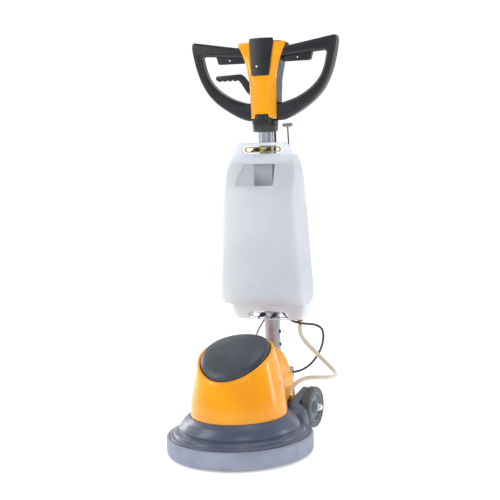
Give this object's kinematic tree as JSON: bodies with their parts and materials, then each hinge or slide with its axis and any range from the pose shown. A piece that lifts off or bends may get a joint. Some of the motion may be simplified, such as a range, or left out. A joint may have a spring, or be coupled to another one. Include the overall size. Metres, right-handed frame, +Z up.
{
  "type": "single-disc floor scrubber",
  "caption": "Upright single-disc floor scrubber: round brush deck with motor cover, solution tank on a tilting tube, twin-loop handle and transport wheels.",
  "frame": {"origin": "where the brush axis meets the floor, on the underside of the floor pad", "axes": "+Z up, -Y to the front of the machine (the wheels and the operator are at +Y), +X to the right when looking at its front"},
  "size_m": [0.4782, 0.5243, 1.206],
  "materials": {
    "deck_plastic": "satin moulded ABS, dark blue-grey",
    "bumper_rubber": "matt light-grey bumper",
    "scrub_pad": "coarse non-woven nylon",
    "black_plastic": "satin black moulding",
    "machined_steel": "machined",
    "cast_aluminium": "as cast, painted dull",
    "yellow_plastic": "glossy moulded orange-yellow",
    "cap_plastic": "fine-textured dark grey",
    "brass": "turned",
    "tyre_rubber": "solid grey rubber",
    "hub_plastic": "grey moulding",
    "chrome": "polished",
    "tube_paint": "silver-grey powder coat",
    "zinc_plate": "yellow zinc passivate",
    "tank_polythene": "translucent blow-moulded polyethylene",
    "handle_plastic": "satin black glass-filled nylon",
    "lens": "white indicator lens",
    "hose_vinyl": "translucent vinyl hose",
    "cord_jacket": "smooth rubber jacket"
  },
  "bodies": {
    "base": {"base_cover": "deck_plastic", "bumper_skirt": "bumper_rubber", "gearbox_housing": "cast_aluminium", "ring_gear": "machined_steel", "gearbox_lid": "cast_aluminium", "lower_bearing": "machined_steel", "motor_stator": "cast_aluminium", "motor_end_bell": "cast_aluminium", "upper_bearing": "machined_steel", "start_capacitor": "cast_aluminium", "motor_cover": "yellow_plastic", "motor_cap": "cap_plastic", "rear_cover": "yellow_plastic", "lead_gland": "black_plastic", "hose_inlet_barb": "brass", "wheel_axle": "machined_steel", "axle_nut_left": "chrome", "axle_nut_right": "chrome", "lock_quadrant": "zinc_plate"},
    "motor_rotor_body": {"motor_rotor": "machined_steel", "cooling_fan": "black_plastic"},
    "brush_drive": {"planet_carrier": "machined_steel", "pad_driver": "black_plastic", "floor_pad": "scrub_pad"},
    "planet_1": {"planet_gear_1": "machined_steel"},
    "planet_2": {"planet_gear_2": "machined_steel"},
    "planet_3": {"planet_gear_3": "machined_steel"},
    "wheel_left": {"wheel_tyre_left": "tyre_rubber", "wheel_hub_left": "hub_plastic"},
    "wheel_right": {"wheel_tyre_right": "tyre_rubber", "wheel_hub_right": "hub_plastic"},
    "plunger": {"lock_plunger": "machined_steel"},
    "lever": {"lock_lever": "black_plastic"},
    "trigger_left_body": {"trigger_left": "black_plastic"},
    "trigger_right_body": {"trigger_right": "black_plastic"},
    "valve": {"valve_rod": "brass", "valve_knob": "hub_plastic"},
    "upper_latch_left_body": {"upper_latch_left": "black_plastic"},
    "upper_latch_right_body": {"upper_latch_right": "black_plastic"},
    "lower_latch_left_body": {"lower_latch_left": "black_plastic"},
    "lower_latch_right_body": {"lower_latch_right": "black_plastic"},
    "handle": {"handle_yoke": "cast_aluminium", "handle_tube": "tube_paint", "tube_bolt_upper": "black_plastic", "tube_bolt_lower": "black_plastic", "lock_spring": "machined_steel", "tank": "tank_polythene", "outlet_barb": "brass", "upper_bracket": "zinc_plate", "lower_bracket": "zinc_plate", "handle_frame": "handle_plastic", "front_shell": "yellow_plastic", "rear_shell": "cap_plastic", "insert_panel": "black_plastic", "status_lens": "lens", "head_collar": "handle_plastic", "lever_pin": "machined_steel", "water_hose": "hose_vinyl", "power_lead": "cord_jacket", "lock_cable": "cord_jacket"}
  },
  "joints": [
    {"name": "brush_spin", "type": "hinge", "parent": "base", "child": "brush_drive", "pos_m": [0, 0, 0.03], "axis": [0, 0, 1], "continuous": true},
    {"name": "motor_spin", "type": "hinge", "parent": "base", "child": "motor_rotor_body", "pos_m": [0, 0, 0.158], "axis": [0, 0, 1], "continuous": true},
    {"name": "planet_spin_1", "type": "hinge", "parent": "brush_drive", "child": "planet_1", "pos_m": [0.04143, 0, 0.0744], "axis": [0, 0, 1], "continuous": true},
    {"name": "planet_spin_2", "type": "hinge", "parent": "brush_drive", "child": "planet_2", "pos_m": [-0.02071, 0.03588, 0.0744], "axis": [0, 0, 1], "continuous": true},
    {"name": "planet_spin_3", "type": "hinge", "parent": "brush_drive", "child": "planet_3", "pos_m": [-0.02071, -0.03588, 0.0744], "axis": [0, 0, 1], "continuous": true},
    {"name": "handle_tilt", "type": "hinge", "parent": "base", "child": "handle", "pos_m": [0, 0.238, 0.083], "axis": [-1, 0, 0], "range_deg": [0, 55]},
    {"name": "wheel_left_spin", "type": "hinge", "parent": "base", "child": "wheel_left", "pos_m": [-0.135, 0.238, 0.083], "axis": [1, 0, 0], "continuous": true},
    {"name": "wheel_right_spin", "type": "hinge", "parent": "base", "child": "wheel_right", "pos_m": [0.135, 0.238, 0.083], "axis": [1, 0, 0], "continuous": true},
    {"name": "lock_lever_squeeze", "type": "hinge", "parent": "handle", "child": "lever", "pos_m": [-0.031, 0.264, 1.035], "axis": [0, 1, 0], "range_deg": [0, 12], "stiffness_Nm_per_rad": 2, "springref_deg": -11.46},
    {"name": "lock_plunger_slide", "type": "slide", "parent": "handle", "child": "plunger", "axis": [0, 0, 1], "range_m": [0, 0.004], "deforming": ["lock_spring"]},
    {"name": "trigger_left_squeeze", "type": "hinge", "parent": "handle", "child": "trigger_left_body", "pos_m": [-0.068, 0.272, 1.151], "axis": [0, 1, 0], "range_deg": [0, 5], "stiffness_Nm_per_rad": 2, "springref_deg": -5.73},
    {"name": "trigger_right_squeeze", "type": "hinge", "parent": "handle", "child": "trigger_right_body", "pos_m": [0.068, 0.272, 1.151], "axis": [0, -1, 0], "range_deg": [0, 5], "stiffness_Nm_per_rad": 2, "springref_deg": -5.73},
    {"name": "valve_lift", "type": "slide", "parent": "handle", "child": "valve", "axis": [-0.0328, 0, 0.9995], "range_m": [0, 0.01]},
    {"name": "upper_latch_left_turn", "type": "hinge", "parent": "handle", "child": "upper_latch_left_body", "pos_m": [-0.0205, 0.23, 0.871], "axis": [0, 1, 0], "range_deg": [0, 90]},
    {"name": "upper_latch_right_turn", "type": "hinge", "parent": "handle", "child": "upper_latch_right_body", "pos_m": [0.0205, 0.23, 0.871], "axis": [0, 1, 0], "range_deg": [0, 90]},
    {"name": "lower_latch_left_turn", "type": "hinge", "parent": "handle", "child": "lower_latch_left_body", "pos_m": [-0.0205, 0.23, 0.3635], "axis": [0, 1, 0], "range_deg": [0, 90]},
    {"name": "lower_latch_right_turn", "type": "hinge", "parent": "handle", "child": "lower_latch_right_body", "pos_m": [0.0205, 0.23, 0.3635], "axis": [0, 1, 0], "range_deg": [0, 90]}
  ],
  "couplings": [
    {"joint": "motor_spin", "follows": "brush_spin", "ratio": 8},
    {"joint": "planet_spin_1", "follows": "brush_spin", "ratio": -2.3333},
    {"joint": "planet_spin_2", "follows": "brush_spin", "ratio": -2.3333},
    {"joint": "planet_spin_3", "follows": "brush_spin", "ratio": -2.3333},
    {"joint": "lock_plunger_slide", "follows": "lock_lever_squeeze", "m_per_rad": 0.019}
  ]
}
